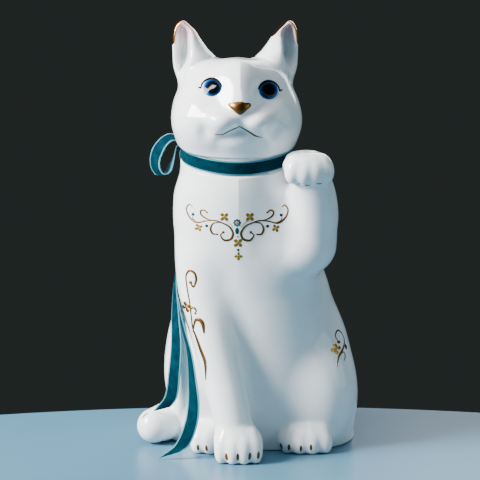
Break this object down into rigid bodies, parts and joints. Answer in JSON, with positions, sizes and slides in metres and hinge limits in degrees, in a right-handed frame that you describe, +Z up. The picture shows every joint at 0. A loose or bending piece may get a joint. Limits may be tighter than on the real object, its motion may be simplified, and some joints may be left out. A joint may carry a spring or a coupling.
{
  "type": "beckoning cat figurine",
  "caption": "Seated beckoning cat in white glazed porcelain with its left forepaw raised, gilded ear rims, nose and claws, scrolled gold ornament and a teal velvet ribbon tied round the neck.",
  "frame": {"origin": "on the table, at the middle of the closing plate under the seat", "axes": "+Z up, the cat faces -Y, its own left is +X"},
  "size_m": [0.1579, 0.1501, 0.302],
  "materials": {
    "porcelain": "gloss",
    "biscuit": "matte",
    "enamel": "gloss",
    "gilding": "polished",
    "velvet": "velvet"
  },
  "bodies": {
    "root": {"torso": "porcelain", "head": "porcelain", "left_ear": "porcelain", "right_ear": "porcelain", "raised_arm": "porcelain", "right_foreleg": "porcelain", "left_hind_paw": "porcelain", "right_hind_paw": "porcelain", "tail": "porcelain", "closing_plate": "biscuit", "left_eye": "enamel", "right_eye": "enamel", "nose_pad": "gilding", "ribbon_collar": "velvet", "ribbon_knot": "velvet", "ribbon_loop_side": "velvet", "ribbon_loop_rear": "velvet", "ribbon_tail_rear": "velvet", "ribbon_tail_front": "velvet"}
  },
  "joints": []
}
